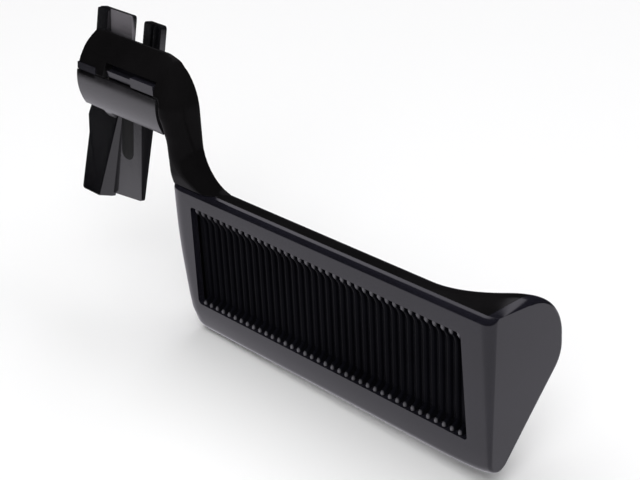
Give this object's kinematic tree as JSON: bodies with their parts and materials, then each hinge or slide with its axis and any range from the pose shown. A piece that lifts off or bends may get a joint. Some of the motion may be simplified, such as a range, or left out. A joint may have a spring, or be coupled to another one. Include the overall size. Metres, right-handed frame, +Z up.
{
  "type": "door release lever",
  "caption": "Inside door release lever: ribbed grip with a swept end on a barrel that turns on a steel pin in a push-in bracket, with return spring and rod crank.",
  "frame": {"origin": "on the hinge axis, the middle of the barrel's circle", "axes": "+X along the hinge axis towards the free end of the grip, +Y the side that the grip is worked towards, +Z up"},
  "size_m": [0.1531, 0.0327, 0.0794],
  "materials": {
    "lever_gloss": "gloss black moulded plastic",
    "face_gloss": "gloss black moulded plastic",
    "rib_plastic": "black moulded plastic",
    "bracket_plastic": "satin black moulded plastic",
    "stop_rubber": "black rubber",
    "pin_steel": "ground bright steel",
    "spring_steel": "oiled spring steel",
    "crank_steel": "zinc plated steel",
    "bush_nylon": "natural nylon"
  },
  "bodies": {
    "bracket": {"mounting_bracket": "bracket_plastic", "hinge_pin": "pin_steel", "retaining_clip": "spring_steel", "return_spring": "spring_steel", "open_stop_pad": "stop_rubber", "rest_stop_pad": "stop_rubber", "thrust_washer_left": "pin_steel", "thrust_washer_right": "pin_steel"},
    "lever": {"lever_body": "lever_gloss", "grip_face": "face_gloss", "grip_ribs": "rib_plastic", "barrel_cover": "face_gloss", "bush_left": "bush_nylon", "bush_right": "bush_nylon", "release_crank": "crank_steel", "crank_rivets": "crank_steel"},
    "swivel": {"rod_swivel": "bush_nylon"}
  },
  "joints": [
    {"name": "lever_pivot", "type": "hinge", "parent": "bracket", "child": "lever", "pos_m": [0, 0, 0], "axis": [1, 0, 0], "range_deg": [0, 20], "stiffness_Nm_per_rad": 0.25, "springref_deg": -40.11, "deforming": ["return_spring"]},
    {"name": "swivel_turn", "type": "hinge", "parent": "lever", "child": "swivel", "pos_m": [-0.02, 0.015, -0.0055], "axis": [1, 0, 0], "range_deg": [-20, 0]}
  ],
  "couplings": [
    {"joint": "swivel_turn", "follows": "lever_pivot", "ratio": -1}
  ]
}
